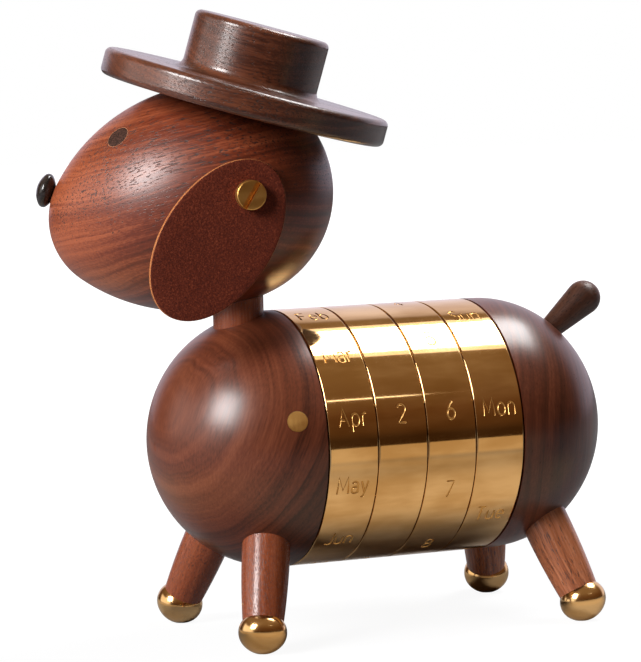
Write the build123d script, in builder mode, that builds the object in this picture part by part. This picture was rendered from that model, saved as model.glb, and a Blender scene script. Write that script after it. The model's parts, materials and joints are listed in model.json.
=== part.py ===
from build123d import *
from math import acos, asin, atan2, cos, degrees, radians, sin, sqrt, tan
import os

# A walnut dog whose middle is four brass rings that turn to show the date.
# Millimetres, +Z up, floor at z = 0.
# The dog's chest points along -X and its tail along +X, and its left side is at -Y.

# Driving sizes: ring stack
ring_radius = 30.0
ring_wall = 5.0
ring_width = 12.15
ring_gap = 0.35
ring_chamfer = 0.35
ring_names = ["month_ring", "tens_ring", "units_ring", "weekday_ring"]
front_seam_x = -18.6
washer_recess = 1.4
spigot_radius = 12.0
spigot_depth = 8.0
rod_radius = 4.0
rod_clearance = 0.3
insert_wall = 2.0
insert_depth = 16.0
rod_end_room = 2.0

# Driving sizes: body halves
rear_straight = 3.0
rear_dome_length = 28.5
index_radius = 2.35
index_depth = 8.0
index_station = 6.7
index_angle = 13.8

# Driving sizes: legs and feet
hip_setback_front = 8.05
hip_setback_rear = 10.25
hip_inset = 9.2
hip_angle = 39.0
leg_splay_out_angle = 25.3
leg_splay_along_angle = 15.8
leg_length = 25.66
leg_socket = 8.0
leg_top_radius = 5.55
leg_end_radius = 4.7
foot_overhang = 0.85
foot_half_height = 4.9
foot_flat_depth = 0.25
stud_radius = 1.5
stud_in_leg = 7.0
stud_in_foot = 4.5

# Driving sizes: tail
tail_root_angle = 44.0
tail_pitch_angle = 37.0
tail_length = 11.9
tail_root_radius = 2.65
tail_tip_radius = 4.2
tail_tenon = 9.0

# Driving sizes: neck and head
neck_station = 8.45
neck_radius = 5.9
neck_web = 3.0
neck_in_head = 15.0
head_turn_angle = 28.0
head_reach = 10.5
head_pitch_angle = 13.2
head_rise_over_rings = 0.1
egg_half_length = 33.4
snout_radius = 17.0
back_radius = 25.5
flank_radius = 44.0
egg_seam_roll_angle = 140.0

# Driving sizes: face
eye_station = -10.8
eye_roll_angle = 38.0
eye_radius = 2.85
eye_depth = 7.0
nose_station = -30.3
nose_pitch_angle = 28.3
nose_radius = 4.0
nose_half_thickness = 2.2
nose_rim_radius = 1.2
nose_seat_radius = 3.0
nose_seat_depth = 0.4
nose_peg_radius = 1.25
nose_peg_depth = 7.0

# Driving sizes: ears and their screws
ear_station = 15.65
ear_roll_angle = 93.3
ear_half_length = 20.4
ear_half_width = 12.45
ear_thickness = 1.5
ear_pivot_offset = 12.4
left_ear_hang_angle = 39.2
right_ear_hang_angle = 42.0
ear_seat_radius = 8.0
ear_seat_depth = 0.3
screw_radius = 2.0
screw_length = 14.0
screw_head_radius = 3.4
screw_head_height = 2.0
screw_head_round = 0.3
screw_slot_width = 1.2
screw_slot_depth = 1.0
screw_slot_angle = 45.0

# Driving sizes: hat
hat_tilt_angle = 16.4
hat_flat_depth = 2.58
hat_offset = 6.0
brim_radius = 33.7
brim_thickness = 6.25
brim_round = 1.4
crown_radius = 15.9
crown_height = 13.7
crown_round = 1.4
crown_root_round = 2.2
hat_peg_radius = 4.0
hat_peg_half = 8.0

# Clearances
running_gap = 0.05
glue_gap = 0.05
face_gap = 0.05
ear_gap = 0.1

os.makedirs("parts", exist_ok=True)

# Ring stack places along X
ring_bore_radius = ring_radius - ring_wall
core_radius = ring_bore_radius - running_gap
insert_radius = rod_radius + insert_wall
stack_length = len(ring_names) * ring_width + (len(ring_names) + 1) * ring_gap
rear_seam_x = front_seam_x + stack_length
washer_thickness = ring_gap - 2 * face_gap

# Legs: the hip is the bottom of the leg's socket, and the leg's length sets how high the body stands
hip_radius = ring_radius - hip_inset
hip_y = hip_radius * sin(radians(hip_angle))
hip_drop = hip_radius * cos(radians(hip_angle))
splay_along = tan(radians(leg_splay_along_angle))
splay_out = tan(radians(leg_splay_out_angle))
leg_slant = sqrt(1 + splay_along**2 + splay_out**2)
foot_radius = leg_end_radius + foot_overhang
foot_rim_radius = 2 * foot_half_height - foot_radius
foot_seat = sqrt(foot_rim_radius**2 - (foot_rim_radius - foot_overhang) ** 2)


# Ovals: a cap arc at the pole runs on into a rim arc, and a 3-4-5 triangle joins their centres
oval_turn = degrees(atan2(4, 3))


def oval_cap_radius(half_height, radius):
    return (3 * radius - half_height) / 2


foot_cap_radius = oval_cap_radius(foot_half_height, foot_radius)
foot_reach = foot_cap_radius - (foot_cap_radius - foot_half_height) / leg_slant
axis_height = hip_drop + (leg_length + foot_seat) / leg_slant + foot_reach - foot_flat_depth
body_axis = Axis((0, 0, axis_height), (1, 0, 0))


# Half sections of turned pieces: x runs along the turning axis, y is the radius
def half_section(seat):
    return Plane(seat.origin, x_dir=seat.z_dir, z_dir=seat.y_dir)


def turning_axis(seat):
    return Axis(seat.origin, seat.z_dir)


def across_body(x):
    return Plane((x, 0, axis_height), x_dir=(0, -1, 0), z_dir=(1, 0, 0))


# Sections under the body's axis, where no hole crosses the seam of the turned skin
def below_axis(x):
    return Plane((x, 0, axis_height), x_dir=(1, 0, 0), z_dir=(0, 1, 0))


# Quarter outlines of rounded forms: the cap arc turns from the pole to where the rim arc takes over
def two_arc_quarter(half_height, radius, cap_radius, rim_radius, turn):
    with BuildLine() as quarter:
        cap = CenterArc((half_height - cap_radius, 0), cap_radius, 0, turn)
        CenterArc((0, radius - rim_radius), rim_radius, turn, 90 - turn)
        Polyline((0, radius), (0, 0), cap @ 0)
    return quarter.edges()


def oval_quarter(half_height, radius):
    cap_radius = oval_cap_radius(half_height, radius)
    return two_arc_quarter(half_height, radius, cap_radius, 2 * half_height - radius, oval_turn)


# The head's own place: x to its back, y to its right, z up, turned about the neck
neck_x = front_seam_x - neck_station
head_place = Location((neck_x, 0, axis_height), (0, 0, -head_turn_angle))
snout_x = snout_radius - egg_half_length
back_x = egg_half_length - back_radius
snout_gap = flank_radius - snout_radius
back_gap = flank_radius - back_radius
flank_x = (snout_x + back_x) / 2 + (snout_gap**2 - back_gap**2) / (2 * (back_x - snout_x))
flank_drop = sqrt(snout_gap**2 - (flank_x - snout_x) ** 2)
snout_turn = degrees(atan2(flank_drop, snout_x - flank_x))
back_turn = degrees(atan2(flank_drop, back_x - flank_x))
egg_radius = flank_radius - flank_drop
head_rise = ring_radius + egg_radius + head_rise_over_rings
egg_place = head_place * Location((-head_reach, 0, head_rise), (0, -head_pitch_angle, 0))
hat_lean = Location((0, 0, 0), (0, head_pitch_angle + hat_tilt_angle, 0))
hat_place = egg_place * hat_lean * Location((hat_offset, 0, egg_radius - hat_flat_depth))


# A place on the egg, with z standing square on its skin: three arcs make its outline
def on_egg(station, roll):
    centre_x, centre_r, radius = flank_x, -flank_drop, flank_radius
    if station < snout_x + snout_radius * cos(radians(snout_turn)):
        centre_x, centre_r, radius = snout_x, 0, snout_radius
    if station > back_x + back_radius * cos(radians(back_turn)):
        centre_x, centre_r, radius = back_x, 0, back_radius
    lean = asin((station - centre_x) / radius)
    around = egg_place * Location((0, 0, 0), (roll, 0, 0))
    return around * Location((station, 0, centre_r + radius * cos(lean)), (0, degrees(lean), 0))


# Seats in the body: x points level across each leg, z points out of the wood
index_roll = Location((front_seam_x, 0, axis_height), (90 - index_angle, 0, 0))
index_lean = Location((0, 0, 0), (0, -degrees(asin(index_station / ring_radius)), 0))
index_seat = Plane(index_roll * index_lean).offset(ring_radius)

leg_seats = {}
for end, hip_x, along in (
    ("front", front_seam_x - hip_setback_front, -splay_along),
    ("rear", rear_seam_x + hip_setback_rear, splay_along),
):
    for side, across in (("left", -1), ("right", 1)):
        hip = (hip_x, across * hip_y, axis_height - hip_drop)
        outward = (along, across * splay_out, -1)
        level = (across * splay_out, -along, 0)
        leg_seats[end + "_" + side] = Plane(hip, x_dir=level, z_dir=outward)

neck_bottom = axis_height + spigot_radius + neck_web
neck_top = axis_height + ring_radius + neck_in_head

# Front body
with BuildPart() as front_blank:
    with BuildSketch(below_axis(front_seam_x)):
        with BuildLine():
            chest = CenterArc((0, 0), ring_radius, 90, 90)
            Polyline(chest @ 1, (0, 0), chest @ 0)
        make_face()
    revolve(axis=body_axis)

with BuildPart() as front_body:
    add(front_blank.part)
    with BuildSketch(across_body(front_seam_x)):
        Circle(spigot_radius + glue_gap)
    extrude(amount=-(spigot_depth + face_gap), mode=Mode.SUBTRACT)
    with BuildSketch(across_body(front_seam_x - spigot_depth)):
        Circle(insert_radius + glue_gap)
    extrude(amount=-(insert_depth + face_gap), mode=Mode.SUBTRACT)
    with BuildSketch(Plane((neck_x, 0, neck_bottom))):
        Circle(neck_radius + glue_gap)
    extrude(amount=ring_radius, mode=Mode.SUBTRACT)
    for name in ("front_left", "front_right"):
        with BuildSketch(leg_seats[name]):
            Circle(leg_top_radius + glue_gap)
        extrude(amount=leg_length, mode=Mode.SUBTRACT)
    with BuildSketch(index_seat.offset(-index_depth)):
        Circle(index_radius + glue_gap)
    extrude(amount=2 * index_depth, mode=Mode.SUBTRACT)
front_body.part.label = "front_body"
export_step(front_body.part, "parts/front_body.step")

with BuildPart() as index_pin:
    with BuildSketch(index_seat.offset(face_gap - index_depth)):
        Circle(index_radius)
    extrude(amount=2 * index_depth)
    add(front_blank.part, mode=Mode.INTERSECT)
index_pin.part.label = "index_pin"
export_step(index_pin.part, "parts/index_pin.step")

# Rear body
rear_cap_radius = oval_cap_radius(rear_dome_length, ring_radius)
rear_cap_x = rear_seam_x + rear_straight + rear_dome_length - rear_cap_radius
tail_rise = rear_cap_radius * sin(radians(tail_root_angle))
tail_root_x = rear_cap_x + rear_cap_radius * cos(radians(tail_root_angle))
tail_seat = Plane(Location((tail_root_x, 0, axis_height + tail_rise), (0, 90 - tail_pitch_angle, 0)))

with BuildPart() as rear_body:
    with BuildSketch(below_axis(rear_seam_x + rear_straight)):
        make_face(oval_quarter(rear_dome_length, ring_radius))
        Rectangle(rear_straight, ring_radius, align=(Align.MAX, Align.MIN))
    revolve(axis=body_axis)
    with BuildSketch(across_body(rear_seam_x)):
        Circle(spigot_radius + glue_gap)
    extrude(amount=spigot_depth + face_gap, mode=Mode.SUBTRACT)
    with BuildSketch(across_body(rear_seam_x + spigot_depth)):
        Circle(insert_radius + glue_gap)
    extrude(amount=insert_depth + face_gap, mode=Mode.SUBTRACT)
    for name in ("rear_left", "rear_right"):
        with BuildSketch(leg_seats[name]):
            Circle(leg_top_radius + glue_gap)
        extrude(amount=leg_length, mode=Mode.SUBTRACT)
    with BuildSketch(tail_seat.offset(-tail_tenon - face_gap)):
        Circle(tail_root_radius + glue_gap)
    extrude(amount=2 * tail_tenon, mode=Mode.SUBTRACT)
rear_body.part.label = "rear_body"
export_step(rear_body.part, "parts/rear_body.step")

# Core: a spool as long as the ring stack, with a spigot at each end
with BuildPart() as core:
    with BuildSketch(across_body(front_seam_x)):
        Circle(core_radius)
    extrude(amount=stack_length)
    with BuildSketch(across_body(front_seam_x - spigot_depth)):
        Circle(spigot_radius)
    extrude(amount=stack_length + 2 * spigot_depth)
    with BuildSketch(across_body(front_seam_x - spigot_depth)):
        Circle(rod_radius + rod_clearance)
    extrude(amount=stack_length + 2 * spigot_depth, mode=Mode.SUBTRACT)
core.part.label = "core"
export_step(core.part, "parts/core.step")

# Threaded inserts and the rod that pulls the two halves together
for name, start in (
    ("front_insert", front_seam_x - spigot_depth - face_gap - insert_depth),
    ("rear_insert", rear_seam_x + spigot_depth + face_gap),
):
    with BuildPart() as insert:
        with BuildSketch(across_body(start)):
            Circle(insert_radius)
            Circle(rod_radius + glue_gap, mode=Mode.SUBTRACT)
        extrude(amount=insert_depth)
    insert.part.label = name
    export_step(insert.part, "parts/" + name + ".step")

rod_overhang = spigot_depth + insert_depth - rod_end_room
with BuildPart() as tie_rod:
    with BuildSketch(across_body(front_seam_x - rod_overhang)):
        Circle(rod_radius)
    extrude(amount=stack_length + 2 * rod_overhang)
tie_rod.part.label = "tie_rod"
export_step(tie_rod.part, "parts/tie_rod.step")

# Brass rings, with the washers between them set back from the rings' faces
for index, name in enumerate(ring_names):
    ring_start = front_seam_x + ring_gap + index * (ring_width + ring_gap)
    with BuildPart() as ring:
        with BuildSketch(across_body(ring_start)):
            Circle(ring_radius)
            Circle(ring_bore_radius, mode=Mode.SUBTRACT)
        extrude(amount=ring_width)
        outer_edges = ring.edges().filter_by(GeomType.CIRCLE).group_by(SortBy.RADIUS)[-1]
        chamfer(outer_edges, ring_chamfer)
    ring.part.label = name
    export_step(ring.part, "parts/" + name + ".step")

with BuildPart() as ring_washers:
    for index in range(len(ring_names) + 1):
        washer_start = front_seam_x + face_gap + index * (ring_width + ring_gap)
        with BuildSketch(across_body(washer_start)):
            Circle(ring_radius - washer_recess)
            Circle(ring_bore_radius, mode=Mode.SUBTRACT)
        extrude(amount=washer_thickness)
ring_washers.part.label = "ring_washers"
export_step(ring_washers.part, "parts/ring_washers.step")

# Legs: straight in the socket, then a convex taper down to the foot
for name, seat in leg_seats.items():
    with BuildPart() as leg:
        with BuildSketch(half_section(seat)):
            with BuildLine():
                side_line = Line((face_gap, leg_top_radius), (leg_socket, leg_top_radius))
                taper = TangentArc(side_line @ 1, (leg_length, leg_end_radius), tangent=side_line % 1)
                Polyline(taper @ 1, (leg_length, 0), (face_gap, 0), side_line @ 0)
            make_face()
        revolve(axis=turning_axis(seat))
        with BuildSketch(seat.offset(leg_length - stud_in_leg - face_gap)):
            Circle(stud_radius + glue_gap)
        extrude(amount=stud_in_leg + face_gap, mode=Mode.SUBTRACT)
    leg.part.label = name + "_leg"
    export_step(leg.part, "parts/" + name + "_leg.step")

# Feet: oblate balls, flat where the leg stands on them and where they stand on the floor
for name, seat in leg_seats.items():
    foot_top = seat.offset(leg_length)
    foot_middle = seat.offset(leg_length + foot_seat)
    with BuildPart() as foot:
        with BuildSketch(half_section(foot_middle)):
            make_face(oval_quarter(foot_half_height, foot_radius))
            mirror(about=Plane.YZ)
            with Locations((-foot_seat, 0)):
                Rectangle(
                    2 * foot_half_height, foot_radius, align=(Align.MIN, Align.MIN), mode=Mode.INTERSECT
                )
        revolve(axis=turning_axis(foot_middle))
        split(bisect_by=Plane.XY, keep=Keep.TOP)
        with BuildSketch(foot_top):
            Circle(stud_radius + glue_gap)
        extrude(amount=stud_in_foot + face_gap, mode=Mode.SUBTRACT)
    foot.part.label = name + "_foot"
    export_step(foot.part, "parts/" + name + "_foot.step")

with BuildPart() as foot_studs:
    for seat in leg_seats.values():
        with BuildSketch(seat.offset(leg_length - stud_in_leg)):
            Circle(stud_radius)
        extrude(amount=stud_in_leg + stud_in_foot)
foot_studs.part.label = "foot_studs"
export_step(foot_studs.part, "parts/foot_studs.step")

# Tail: a straight club that swells into a round tip, on a tenon
tail_flare = degrees(acos((tail_tip_radius - tail_root_radius) / tail_length))
with BuildPart() as tail:
    with BuildSketch(half_section(tail_seat)):
        with BuildLine():
            tip = CenterArc((tail_length, 0), tail_tip_radius, 0, 180 - tail_flare)
            flank = Line(tip @ 1, (0, tail_root_radius))
            Polyline(flank @ 1, (-tail_tenon, tail_root_radius), (-tail_tenon, 0), tip @ 0)
        make_face()
    revolve(axis=turning_axis(tail_seat))
tail.part.label = "tail"
export_step(tail.part, "parts/tail.step")

# Neck: a dowel glued into the front body, on which the head turns
with BuildPart() as neck_dowel:
    with BuildSketch(Plane((neck_x, 0, neck_bottom + face_gap))):
        Circle(neck_radius)
    extrude(amount=neck_top - neck_bottom - face_gap)
neck_dowel.part.label = "neck_dowel"
export_step(neck_dowel.part, "parts/neck_dowel.step")

# Head: an egg lying on its side, with its top cut flat for the hat
sides = {"left": 1, "right": -1}
ear_hangs = {"left": left_ear_hang_angle, "right": right_ear_hang_angle}
egg_seam = Plane(egg_place * Location((0, 0, 0), (egg_seam_roll_angle, 0, 0)))
egg_section = Plane(egg_seam.origin, x_dir=egg_seam.x_dir, z_dir=-egg_seam.y_dir)
egg_axis = Axis(egg_section.origin, egg_section.x_dir)
hat_seat = Plane(hat_place)
nose_aim = Plane(egg_place * Location((0, 0, 0), (0, nose_pitch_angle - 90, 0)))
nose_skin = Plane(on_egg(nose_station, 0)).origin
nose_seat = Plane(nose_skin, x_dir=nose_aim.x_dir, z_dir=nose_aim.z_dir).offset(-nose_seat_depth)
eye_seats = {}
ear_seats = {}
for side, hand in sides.items():
    eye_seats[side] = Plane(on_egg(eye_station, hand * eye_roll_angle))
    ear_seats[side] = Plane(on_egg(ear_station, hand * ear_roll_angle)).offset(-ear_seat_depth)

with BuildPart() as egg:
    with BuildSketch(egg_section):
        with BuildLine():
            snout = CenterArc((snout_x, 0), snout_radius, 180, snout_turn - 180)
            CenterArc((flank_x, -flank_drop), flank_radius, snout_turn, back_turn - snout_turn)
            back = CenterArc((back_x, 0), back_radius, back_turn, -back_turn)
            Line(back @ 1, snout @ 0)
        make_face()
    revolve(axis=egg_axis)

with BuildPart() as head:
    add(egg.part)
    split(bisect_by=hat_seat, keep=Keep.BOTTOM)
    with BuildSketch(hat_seat.offset(-hat_peg_half - face_gap)):
        Circle(hat_peg_radius + glue_gap)
    extrude(amount=hat_peg_half + face_gap, mode=Mode.SUBTRACT)
    with BuildSketch(Plane((neck_x, 0, neck_top + face_gap))):
        Circle(neck_radius + running_gap)
    extrude(amount=-2 * neck_in_head, mode=Mode.SUBTRACT)
    for side in sides:
        with BuildSketch(eye_seats[side].offset(-eye_depth - face_gap)):
            Circle(eye_radius + glue_gap)
        extrude(amount=2 * eye_depth, mode=Mode.SUBTRACT)
        with BuildSketch(ear_seats[side]):
            Circle(ear_seat_radius)
        extrude(amount=ear_seat_radius, mode=Mode.SUBTRACT)
        with BuildSketch(ear_seats[side]):
            Circle(screw_radius + glue_gap)
        extrude(amount=-(screw_length + face_gap), mode=Mode.SUBTRACT)
    with BuildSketch(nose_seat):
        Circle(nose_seat_radius)
    extrude(amount=nose_seat_radius, mode=Mode.SUBTRACT)
    with BuildSketch(nose_seat):
        Circle(nose_peg_radius + glue_gap)
    extrude(amount=-(nose_peg_depth + face_gap), mode=Mode.SUBTRACT)
head.part.label = "head"
export_step(head.part, "parts/head.step")

# Eyes: plugs turned flush with the egg
for side in sides:
    with BuildPart() as eye:
        with BuildSketch(eye_seats[side].offset(-eye_depth)):
            Circle(eye_radius)
        extrude(amount=2 * eye_depth)
        add(egg.part, mode=Mode.INTERSECT)
    eye.part.label = side + "_eye"
    export_step(eye.part, "parts/" + side + "_eye.step")

# Nose: a bead with gently domed faces, on its peg
nose_stand = nose_half_thickness + face_gap
nose_rim_reach = nose_radius - nose_rim_radius
nose_rise = nose_half_thickness - nose_rim_radius
nose_cap_radius = nose_rim_radius + (nose_rise**2 + nose_rim_reach**2) / (2 * nose_rise)
nose_turn = degrees(atan2(nose_rim_reach, nose_cap_radius - nose_half_thickness))
with BuildPart() as nose:
    with BuildSketch(half_section(nose_seat.offset(nose_stand))):
        make_face(
            two_arc_quarter(nose_half_thickness, nose_radius, nose_cap_radius, nose_rim_radius, nose_turn)
        )
        mirror(about=Plane.YZ)
        Rectangle(nose_peg_depth + nose_stand, nose_peg_radius, align=(Align.MAX, Align.MIN))
    revolve(axis=turning_axis(nose_seat))
nose.part.label = "nose"
export_step(nose.part, "parts/nose.step")

# Ears: flat leather ovals, each hung on a slotted screw
for side, hand in sides.items():
    seat = ear_seats[side]
    hang = -hand * (180 - ear_hangs[side])
    ear_middle = (ear_pivot_offset * cos(radians(hang)), ear_pivot_offset * sin(radians(hang)))
    with BuildPart() as ear:
        with BuildSketch(seat.offset(ear_gap)):
            with Locations(Location((*ear_middle, 0), (0, 0, hang))):
                Ellipse(ear_half_length, ear_half_width)
            Circle(screw_radius + running_gap, mode=Mode.SUBTRACT)
        extrude(amount=ear_thickness)
    ear.part.label = side + "_ear"
    export_step(ear.part, "parts/" + side + "_ear.step")

    head_start = 2 * ear_gap + ear_thickness
    with BuildPart() as ear_screw:
        with BuildSketch(seat.offset(-screw_length)):
            Circle(screw_radius)
        extrude(amount=screw_length + head_start)
        with BuildSketch(seat.offset(head_start)):
            Circle(screw_head_radius)
        extrude(amount=screw_head_height)
        rim = ear_screw.faces().sort_by(turning_axis(seat))[-1].edges()
        fillet(rim, screw_head_round)
        with BuildSketch(seat.offset(head_start + screw_head_height)):
            with Locations(Rotation(0, 0, hand * screw_slot_angle)):
                Rectangle(3 * screw_head_radius, screw_slot_width)
        extrude(amount=-screw_slot_depth, mode=Mode.SUBTRACT)
    ear_screw.part.label = side + "_ear_screw"
    export_step(ear_screw.part, "parts/" + side + "_ear_screw.step")

# Hat: brim and crown turned from one block, pegged to the head
with BuildPart() as hat:
    with BuildSketch(half_section(hat_seat)) as hat_outline:
        with BuildLine():
            Polyline(
                (0, 0),
                (0, brim_radius),
                (brim_thickness, brim_radius),
                (brim_thickness, crown_radius),
                (brim_thickness + crown_height, crown_radius),
                (brim_thickness + crown_height, 0),
                close=True,
            )
        make_face()
        fillet(hat_outline.vertices().group_by(Axis.Y)[-1], brim_round)
        fillet(hat_outline.vertices().group_by(Axis.Y)[1].sort_by(Axis.X)[0], crown_root_round)
        fillet(hat_outline.vertices().group_by(Axis.Y)[1].sort_by(Axis.X)[-1], crown_round)
    revolve(axis=turning_axis(hat_seat))
    with BuildSketch(hat_seat):
        Circle(hat_peg_radius + glue_gap)
    extrude(amount=hat_peg_half + face_gap, mode=Mode.SUBTRACT)
hat.part.label = "hat"
export_step(hat.part, "parts/hat.step")

with BuildPart() as hat_peg:
    with BuildSketch(hat_seat.offset(-hat_peg_half)):
        Circle(hat_peg_radius)
    extrude(amount=2 * hat_peg_half)
hat_peg.part.label = "hat_peg"
export_step(hat_peg.part, "parts/hat_peg.step")
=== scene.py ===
import json
from math import cos, radians, sin

import bpy
import numpy as np
from mathutils import Matrix, Vector


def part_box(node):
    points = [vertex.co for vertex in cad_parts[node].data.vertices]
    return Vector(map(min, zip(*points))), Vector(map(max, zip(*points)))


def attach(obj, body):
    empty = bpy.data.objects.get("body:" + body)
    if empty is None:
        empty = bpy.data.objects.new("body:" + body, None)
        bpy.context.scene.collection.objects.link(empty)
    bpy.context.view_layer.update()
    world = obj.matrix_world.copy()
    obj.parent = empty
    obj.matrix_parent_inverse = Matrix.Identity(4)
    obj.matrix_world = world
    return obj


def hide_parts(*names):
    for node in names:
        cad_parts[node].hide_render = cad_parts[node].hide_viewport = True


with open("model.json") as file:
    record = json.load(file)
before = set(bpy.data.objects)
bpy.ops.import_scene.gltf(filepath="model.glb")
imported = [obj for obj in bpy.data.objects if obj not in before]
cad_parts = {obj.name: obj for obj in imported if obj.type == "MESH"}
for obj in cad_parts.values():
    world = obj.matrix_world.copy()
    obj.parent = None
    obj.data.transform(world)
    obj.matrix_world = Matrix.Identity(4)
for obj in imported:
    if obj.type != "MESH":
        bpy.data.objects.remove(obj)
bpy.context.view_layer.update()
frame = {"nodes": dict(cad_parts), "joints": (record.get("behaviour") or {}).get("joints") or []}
nodes = frame["nodes"]
joints = {joint["name"]: joint for joint in frame["joints"]}
scene = bpy.context.scene
scene.view_settings.view_transform = "Standard"
mm = 0.001
axisHeight = Vector(joints["month_turn"]["pos_m"]).z
print("frame loaded:", len(nodes), "nodes")


# one socket of a node tree, with arithmetic that adds Math nodes
class Wire:
    def __init__(self, tree, socket=None):
        self.tree = tree
        self.socket = socket

    def node(self, kind, settings=None, sockets=None, out=0):
        made = self.tree.nodes.new(kind)
        for key, value in (settings or {}).items():
            if key == "stops":
                ramp = made.color_ramp.elements
                while len(ramp) < len(value):
                    ramp.new(1)
                for element, (place, colour) in zip(ramp, value):
                    element.position = place
                    element.color = (*colour, 1)
            else:
                setattr(made, key, value)
        for key, value in (sockets or {}).items():
            if isinstance(value, Wire):
                self.tree.links.new(value.socket, made.inputs[key])
            else:
                made.inputs[key].default_value = value
        return Wire(self.tree, made.outputs[out] if made.outputs else None)

    def port(self, out):
        return Wire(self.tree, self.socket.node.outputs[out])

    def maths(self, operation, *values):
        return self.node("ShaderNodeMath", {"operation": operation}, dict(enumerate(values)))

    def __add__(self, other):
        return self.maths("ADD", self, other)

    def __radd__(self, other):
        return self.maths("ADD", other, self)

    def __sub__(self, other):
        return self.maths("SUBTRACT", self, other)

    def __rsub__(self, other):
        return self.maths("SUBTRACT", other, self)

    def __mul__(self, other):
        return self.maths("MULTIPLY", self, other)

    def __truediv__(self, other):
        return self.maths("DIVIDE", self, other)

    def __pow__(self, other):
        return self.maths("POWER", self, other)


def srgb(red, green, blue):
    share = [value / 255 for value in (red, green, blue)]
    return tuple(s / 12.92 if s <= 0.04045 else ((s + 0.055) / 1.055) ** 2.4 for s in share)


def newMaterial(name):
    material = bpy.data.materials.new(name)
    material.use_nodes = True
    material.node_tree.nodes.clear()
    return material, Wire(material.node_tree)


def noise(wire, vector, scale, detail=2, roughness=0.5):
    sockets = {"Vector": vector, "Scale": scale, "Detail": detail, "Roughness": roughness}
    return wire.node("ShaderNodeTexNoise", sockets=sockets)


def smoothRange(wire, value, low, high, toLow=0, toHigh=1):
    sockets = {0: value, 1: low, 2: high, 3: toLow, 4: toHigh}
    return wire.node("ShaderNodeMapRange", {"interpolation_type": "SMOOTHSTEP"}, sockets)


# sockets 6 and 7 of the node are its two colours, and output 2 is the mixed one
def mixColour(wire, share, first, second):
    paint = [(*c, 1) if isinstance(c, tuple) else c for c in (first, second)]
    return wire.node("ShaderNodeMix", {"data_type": "RGBA"}, {0: share, 6: paint[0], 7: paint[1]}, out=2)


def vector(wire, x, y, z):
    return wire.node("ShaderNodeCombineXYZ", sockets={0: x, 1: y, 2: z})


def bumpNode(wire, strength, depth, height):
    sockets = {"Strength": strength, "Distance": depth, "Height": height}
    return wire.node("ShaderNodeBump", sockets=sockets)


def vectorMaths(wire, operation, first, second=None, out=0):
    sockets = {0: first} if second is None else {0: first, 1: second}
    return wire.node("ShaderNodeVectorMath", {"operation": operation}, sockets, out)


# distance of a point from an axis through "middle", and the offset from that middle
def fromAxis(wire, place, middle, axis):
    apart = vectorMaths(wire, "SUBTRACT", place, middle)
    swung = vectorMaths(wire, "CROSS_PRODUCT", apart, axis)
    return vectorMaths(wire, "LENGTH", swung, out="Value"), apart


def finishMaterial(wire, sockets):
    shader = wire.node("ShaderNodeBsdfPrincipled", sockets=sockets)
    wire.node("ShaderNodeOutputMaterial", sockets={"Surface": shader})


# walnut in millimetres: growth layers across a look's "layerWay", fibres and open pores along its "grain"
# each pair is a frequency per mm, along the grain and across it
walnutGrain = {
    "bend": (0.01, 0.022),
    "bendShift": 7.0,
    "ripple": (0.045, 0.11),
    "rippleShift": 1.8,
    "streak": (0.004, 0.17),
    "line": (0.012, 0.9),
    "lineSeed": 7,
    "fibreAcross": 2.4,
    "calmOver": 6,
    "calmShare": 0.35,
    "paintedSnoutLightRange": (4, 30),
    "stops": (0.1, 0.5, 0.95),
    "rough": {"detail": 3, "roughness": 0.65},
    "fibreHeight": 0.3,
    "lineHeight": 0.1,
    "bumpDepth": 0.15 * mm,
    "fibreSheen": 0.08,
    "coatRoughness": 0.12,
}
poreGrain = {
    "patch": (0.03, 0.08),
    "patchRange": (0.35, 0.65),
    "fewer": 0.05,
    "more": -0.03,
    "fewerRange": (4, -12),
    "edge": 0.09,
    "dullness": 0.2,
}


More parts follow.
